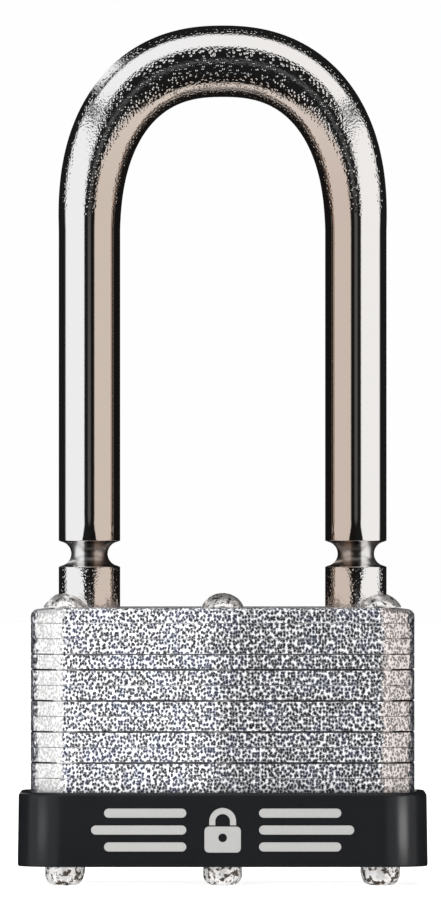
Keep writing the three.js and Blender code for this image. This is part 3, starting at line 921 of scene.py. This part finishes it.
MARK_THICKNESS = 0.06
BAR_LENGTH = 11.0
BAR_HEIGHT = 1.05
BAR_START = 4.2
BAR_PITCH = 1.95
OUTER_BARS_SHORTER_BY = 1.5
SIGN_HALF_WIDTH = 1.6
SIGN_HALF_HEIGHT = 1.0
SIGN_CORNER_R = 0.5
SIGN_DROP = 1.1
BOW_OUTER_R = 1.55
BOW_INNER_R = 0.85
BOW_FOOT = 0.55
BOW_STEPS = 24


def stadium(cx, cy, half_length, half_height):
    left = arc(cx - half_length + half_height, cy, half_height, 90, 270, 10)
    right = arc(cx + half_length - half_height, cy, half_height, -90, 90, 10)
    return left + right


def make_mark(material):
    """A plain lock sign between three bars on each side."""
    centre_z = middle_mm("bumper").z
    mesh = bmesh.new()
    shapes = []
    for side in (-1, 1):
        for row in (-1, 0, 1):
            length = BAR_LENGTH if row == 0 else BAR_LENGTH - OUTER_BARS_SHORTER_BY
            centre = side * (BAR_START + length / 2)
            shapes.append([stadium(centre, row * BAR_PITCH, length / 2, BAR_HEIGHT / 2)])
    body = four_corners(arc(SIGN_HALF_WIDTH, SIGN_HALF_HEIGHT, SIGN_CORNER_R, 0, 90, 6))
    keyhole = circle(0, 0.2, 0.5, 20)
    shapes.append([[(x, y - SIGN_DROP) for x, y in loop] for loop in (body, keyhole)])
    outer = arc(0, 1.0, BOW_OUTER_R, 0, 180, BOW_STEPS)
    inner = arc(0, 1.0, BOW_INNER_R, 180, 0, BOW_STEPS)
    left_foot = [(-BOW_OUTER_R, BOW_FOOT), (-BOW_INNER_R, BOW_FOOT)]
    bow = [(BOW_OUTER_R, BOW_FOOT)] + outer + left_foot + inner + [(BOW_INNER_R, BOW_FOOT)]
    shapes.append([bow])
    for shape in shapes:
        loops = [lambda grow, points=points: points for points in shape]
        pierced_slab(mesh, loops, [(0, 0), (0, MARK_THICKNESS)])
    for vert in mesh.verts:
        u, v, w = vert.co / MM
        z = centre_z + v
        vert.co = Vector((u, front_face_y(z) - w, z)) * MM
    mark = finished(mesh, "bumper_mark", material)
    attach(mark, "case")


# ---------- studio ----------

# Angles in degrees. Straight ahead is the way from the lock to the camera of the main picture.
SIDE_GAP = 19  # what stays unlit round straight ahead, to each side
UP_GAP = 40
DOWN_GAP = 68
GAP_SOFT = 2.5
LIT_TO = 101  # from straight ahead to where the side panels end
LIT_TO_UP = 88
LIMIT_SOFT = 5
PANEL_JOINT = 61  # off the vertical, where the overhead panel meets the side panels
JOINT_WIDTH = (0.025, 0.055)
CORE = (8, 3)  # a dim glow straight ahead, from its edge to its middle
DIM = 0.012
CORE_LEVEL = 0.10
FLARE_FROM = 100  # from straight ahead to where a narrow strip light behind the lock starts
FLARE_SOFT = 6
FLARE_SLANT = 46  # off the vertical, to the left
FLARE_SPREAD = 9
LEFT_TINT = (0.905, 0.905, 0.915)
RIGHT_TINT = (0.90, 0.885, 0.875)
BACKDROP = (0.99, 0.99, 0.99, 1)


def panel_light(tree, angle, upness):
    """The big soft panels: dark straight ahead, lit above, below and to both sides, and dark behind."""
    joint = math.cos(math.radians(PANEL_JOINT))
    above = remap(tree, upness, joint - 0.1, joint + 0.15)
    below = remap(tree, upness, -0.2, -1.0)
    gap_above = remap(tree, above, 0, 1, SIDE_GAP, UP_GAP)
    gap_below = remap(tree, below, 0, 1, 0, DOWN_GAP - SIDE_GAP)
    gap = math_node(tree, "ADD", gap_above, gap_below)
    past_gap = remap(tree, math_node(tree, "SUBTRACT", angle, gap), -GAP_SOFT, GAP_SOFT)
    limit = remap(tree, above, 0, 1, LIT_TO, LIT_TO_UP)
    before_limit = remap(tree, math_node(tree, "SUBTRACT", angle, limit), LIMIT_SOFT, -LIMIT_SOFT)
    off_joint = math_node(tree, "ABSOLUTE", math_node(tree, "SUBTRACT", upness, joint))
    panels = remap(tree, off_joint, *JOINT_WIDTH)
    return math_node(tree, "MULTIPLY", math_node(tree, "MULTIPLY", past_gap, before_limit), panels)


def flare_light(tree, angle, sideways):
    """The narrow strip light behind the lock, up and to the left."""
    slant = math.radians(FLARE_SLANT)
    along = add(tree, "ShaderNodeVectorMath", {0: sideways}, operation="NORMALIZE").outputs["Vector"]
    flare_line = (-math.sin(slant), 0, math.cos(slant))
    towards = add(tree, "ShaderNodeVectorMath", {0: along, 1: flare_line}, operation="DOT_PRODUCT")
    streak = remap(tree, towards.outputs["Value"], math.cos(math.radians(FLARE_SPREAD)), 1.0)
    behind = remap(tree, angle, FLARE_FROM - FLARE_SOFT, FLARE_FROM + FLARE_SOFT)
    return math_node(tree, "MULTIPLY", streak, behind)


def studio_world():
    """Soft light by direction, behind a plain pale backdrop that only the camera sees."""
    world = bpy.data.worlds.new("studio")
    scene.world = world
    world.use_nodes = True
    tree = world.node_tree
    direction = add(tree, "ShaderNodeTexCoord").outputs["Generated"]
    axes = add(tree, "ShaderNodeSeparateXYZ", {0: direction})
    forward = math_node(tree, "MULTIPLY", axes.outputs["Y"], -1.0)
    angle = math_node(tree, "MULTIPLY", math_node(tree, "ARCCOSINE", forward), 180 / math.pi)
    sideways = add(tree, "ShaderNodeCombineXYZ", {0: axes.outputs["X"], 2: axes.outputs["Z"]}).outputs[0]
    reach = add(tree, "ShaderNodeVectorMath", {0: sideways}, operation="LENGTH").outputs["Value"]
    upness = math_node(tree, "DIVIDE", axes.outputs["Z"], math_node(tree, "MAXIMUM", reach, 0.001))
    core = remap(tree, angle, *CORE, DIM, CORE_LEVEL)
    level = math_node(tree, "MAXIMUM", panel_light(tree, angle, upness), core)
    level = math_node(tree, "MAXIMUM", level, flare_light(tree, angle, sideways))
    tint = mix_colours(tree, remap(tree, axes.outputs["X"], -0.25, 0.25), LEFT_TINT, RIGHT_TINT)
    studio = add(tree, "ShaderNodeBackground", {"Color": tint, "Strength": level})
    backdrop = add(tree, "ShaderNodeBackground", {"Color": BACKDROP, "Strength": 1.0})
    seen = add(tree, "ShaderNodeLightPath").outputs["Is Camera Ray"]
    both = add(tree, "ShaderNodeMixShader", {0: seen, 1: studio.outputs[0], 2: backdrop.outputs[0]})
    tree.links.new(both.outputs[0], tree.nodes["World Output"].inputs["Surface"])


FLOOR_HALF = 3000
FLOOR_GLOW = 0.8


def make_floor():
    mesh = bmesh.new()
    half = FLOOR_HALF
    ring = ring_of(mesh, [(-half, -half), (half, -half), (half, half), (-half, half)], 0)
    mesh.faces.new(ring)
    material, _, shader = new_material("pale_floor", roughness=0.9, color=(0.9, 0.9, 0.9))
    shader.inputs["Emission Color"].default_value = (1, 1, 1, 1)
    shader.inputs["Emission Strength"].default_value = FLOOR_GLOW
    floor = finished(mesh, "studio_floor", material)
    floor.visible_glossy = False


def area_light(name, place_mm, target_mm, size_mm, power, spread=180, glossy=False):
    data = bpy.data.lights.new(name, "AREA")
    data.shape = "RECTANGLE"
    data.size = size_mm[0] * MM
    data.size_y = size_mm[1] * MM
    data.energy = power
    data.spread = math.radians(spread)
    light = bpy.data.objects.new(name, data)
    light.location = Vector(place_mm) * MM
    aim = Vector(target_mm) - Vector(place_mm)
    light.rotation_euler = aim.to_track_quat("-Z", "Y").to_euler()
    light.visible_camera = False
    light.visible_glossy = glossy
    scene.collection.objects.link(light)
    return light


LEFT_STRIP_X = -24
LEFT_STRIP_WIDTH = 46
LEFT_STRIP_Y = -70
LEFT_STRIP_SPREAD = 4
ABOVE_BUMPER = 0.4
LOW_STRIP_X = 260
LOW_STRIP_POWERS = {-1: 0.06, 1: 0.235}


def light_the_body():
    """A wide overhead light, a soft key from the left, and a narrow beam on the left half of the plates."""
    area_light("overhead", (0, -150, 500), (0, 0, 0), (500, 500), 2.0)
    area_light("key", (-90, -120, 60), (0, 0, 20), (60, 60), 0.06)
    low = box_mm("bumper")[1].z + ABOVE_BUMPER
    high = box_mm("top_plate")[1].z
    place = (LEFT_STRIP_X, LEFT_STRIP_Y, (low + high) / 2)
    target = (LEFT_STRIP_X, 0, (low + high) / 2)
    area_light("left_strip", place, target, (LEFT_STRIP_WIDTH, high - low), 0.0038, spread=LEFT_STRIP_SPREAD)


def light_the_bumper(sleeve):
    """Two low strips that only the bumper catches, as highlights on its front corners."""
    near_bumper = bpy.data.collections.new("near_bumper")
    near_bumper.objects.link(sleeve)
    for side, power in LOW_STRIP_POWERS.items():
        place = (side * LOW_STRIP_X, -150, 16)
        strip = area_light(f"low_strip_{side}", place, (0, 0, 8), (110, 60), power, glossy=True)
        strip.light_linking.receiver_collection = near_bumper


def make_camera():
    data = bpy.data.cameras.new("camera")
    data.sensor_width = SENSOR
    data.lens = SENSOR * CAMERA_DISTANCE / FRAME_HEIGHT
    camera = bpy.data.objects.new("camera", data)
    camera.location = Vector((FRAME_CENTRE.x, -CAMERA_DISTANCE, FRAME_CENTRE.z)) * MM
    camera.rotation_euler = (math.pi / 2, 0, 0)
    scene.collection.objects.link(camera)
    scene.camera = camera


# ---------- the whole lock ----------

make_camera()
studio_world()
make_floor()
light_the_body()

make_shackle(chrome_plating())
steel = galvanised_steel()
for index, plate_name in enumerate(PLATES):
    make_plate(plate_name, index + 1, steel)
headed = rivet_steel()
for index, rivet_name in enumerate(RIVETS):
    make_rivet(rivet_name, index, headed)
make_keyway_disc(turned_brass())
light_the_bumper(make_bumper(black_plastic()))
make_mark(silver_print())

spring_finish = spring_steel()
for spring in ("locking_spring", "ejector_spring"):
    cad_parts[spring].data.materials.clear()
    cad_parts[spring].data.materials.append(spring_finish)
